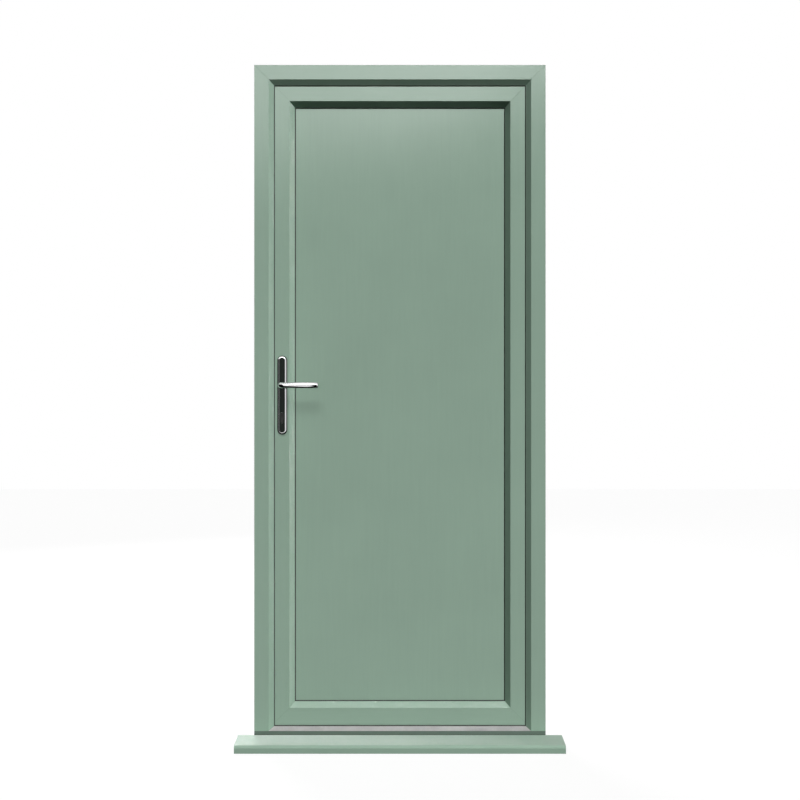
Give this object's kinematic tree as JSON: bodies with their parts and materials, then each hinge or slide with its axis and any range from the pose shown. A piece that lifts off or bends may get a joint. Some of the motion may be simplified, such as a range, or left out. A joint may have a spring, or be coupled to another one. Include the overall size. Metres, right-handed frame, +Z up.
{
  "type": "pvc door set",
  "caption": "Inward opening panelled PVC door in its mitred frame, with a low metal threshold, a projecting cill, lever handles and a multipoint lock.",
  "frame": {"origin": "on the underside of the cill, at mid width, under the outer face of the frame", "axes": "+X to the right seen from outside, +Y from outside into the room, +Z up"},
  "size_m": [1, 0.2311, 2.1],
  "materials": {
    "green_foil": "sage green embossed foil on PVC-U, satin",
    "threshold_aluminium": "mill satin anodised extrusion",
    "black_seal": "matt black weather seal",
    "zinc_steel": "zinc plated rolled steel",
    "bolt_steel": "satin plated steel",
    "handle_chrome": "polished chrome plate",
    "handle_black": "gloss black face with a polished chrome rim",
    "hinge_silver": "satin silver powder coat",
    "cylinder_nickel": "satin nickel",
    "foam_core": "rigid insulating foam",
    "packer_plastic": "moulded plastic"
  },
  "bodies": {
    "frame": {"cill": "green_foil", "cill_end_caps": "green_foil", "threshold": "threshold_aluminium", "threshold_seal": "black_seal", "frame_head": "green_foil", "frame_jamb_lock": "green_foil", "frame_jamb_hinge": "green_foil", "frame_steel_head": "zinc_steel", "frame_steel_lock": "zinc_steel", "frame_steel_hinge": "zinc_steel", "frame_gasket": "black_seal", "centre_keep": "bolt_steel", "hook_keep_upper": "bolt_steel", "hook_keep_lower": "bolt_steel", "hinge_frame_leaf_top": "hinge_silver", "hinge_frame_leaf_middle": "hinge_silver", "hinge_frame_leaf_bottom": "hinge_silver", "hinge_pins": "hinge_silver", "frame_screws": "zinc_steel"},
    "sash": {"sash_stile_lock": "green_foil", "sash_stile_hinge": "green_foil", "sash_top_rail": "green_foil", "sash_bottom_rail": "green_foil", "sash_steel_lock": "zinc_steel", "sash_steel_hinge": "zinc_steel", "sash_steels_rails": "zinc_steel", "panel_outer_skin": "green_foil", "panel_core": "foam_core", "panel_inner_skin": "green_foil", "panel_gasket": "black_seal", "glazing_beads_horizontal": "green_foil", "glazing_beads_vertical": "green_foil", "glazing_packers": "packer_plastic", "sash_gasket": "black_seal", "outside_handle_plate": "handle_black", "inside_handle_plate": "handle_black", "handle_screws": "zinc_steel", "lock_faceplate": "bolt_steel", "lock_case": "zinc_steel", "hook_case_upper": "zinc_steel", "hook_case_lower": "zinc_steel", "cylinder_body": "cylinder_nickel", "cylinder_screw": "zinc_steel", "hinge_sash_leaf_top": "hinge_silver", "hinge_sash_leaf_middle": "hinge_silver", "hinge_sash_leaf_bottom": "hinge_silver", "sash_screws": "zinc_steel"},
    "lever_set": {"outside_lever": "handle_chrome", "inside_lever": "handle_chrome", "spindle": "zinc_steel", "follower": "zinc_steel"},
    "latch": {"latch_bolt": "bolt_steel"},
    "deadbolt": {"deadbolt": "bolt_steel"},
    "hook_upper": {"hook_upper": "bolt_steel"},
    "hook_lower": {"hook_lower": "bolt_steel"},
    "lock_drive": {"drive_strip": "zinc_steel"},
    "outside_plug": {"outside_plug": "cylinder_nickel"},
    "inside_plug": {"inside_plug": "cylinder_nickel", "cylinder_cam": "zinc_steel"}
  },
  "joints": [
    {"name": "door_swing", "type": "hinge", "parent": "frame", "child": "sash", "pos_m": [0.432, 0.08, 1.08], "axis": [0, 0, -1], "range_deg": [0, 110]},
    {"name": "lever_turn", "type": "hinge", "parent": "sash", "child": "lever_set", "pos_m": [-0.365, 0.045, 1.11], "axis": [0, 1, 0], "range_deg": [-45, 38], "stiffness_Nm_per_rad": 4, "springref_deg": -3.44},
    {"name": "latch_slide", "type": "slide", "parent": "sash", "child": "latch", "axis": [-1, 0, 0], "range_m": [0, 0.012]},
    {"name": "drive_slide", "type": "slide", "parent": "sash", "child": "lock_drive", "axis": [0, 0, 1], "range_m": [0, 0.018]},
    {"name": "deadbolt_slide", "type": "slide", "parent": "sash", "child": "deadbolt", "axis": [-1, 0, 0], "range_m": [0, 0.02]},
    {"name": "hook_upper_turn", "type": "hinge", "parent": "sash", "child": "hook_upper", "pos_m": [-0.386, 0.045, 1.65], "axis": [0, -1, 0], "range_deg": [0, 90]},
    {"name": "hook_lower_turn", "type": "hinge", "parent": "sash", "child": "hook_lower", "pos_m": [-0.386, 0.045, 0.48], "axis": [0, -1, 0], "range_deg": [0, 90]},
    {"name": "outside_plug_turn", "type": "hinge", "parent": "sash", "child": "outside_plug", "pos_m": [-0.365, 0.02, 1.018], "axis": [0, 1, 0], "continuous": true},
    {"name": "inside_plug_turn", "type": "hinge", "parent": "sash", "child": "inside_plug", "pos_m": [-0.365, 0.08, 1.018], "axis": [0, 1, 0], "continuous": true}
  ],
  "couplings": [
    {"joint": "deadbolt_slide", "follows": "drive_slide", "ratio": 1.111},
    {"joint": "hook_upper_turn", "follows": "drive_slide", "rad_per_m": 87.26},
    {"joint": "hook_lower_turn", "follows": "drive_slide", "rad_per_m": 87.26}
  ]
}
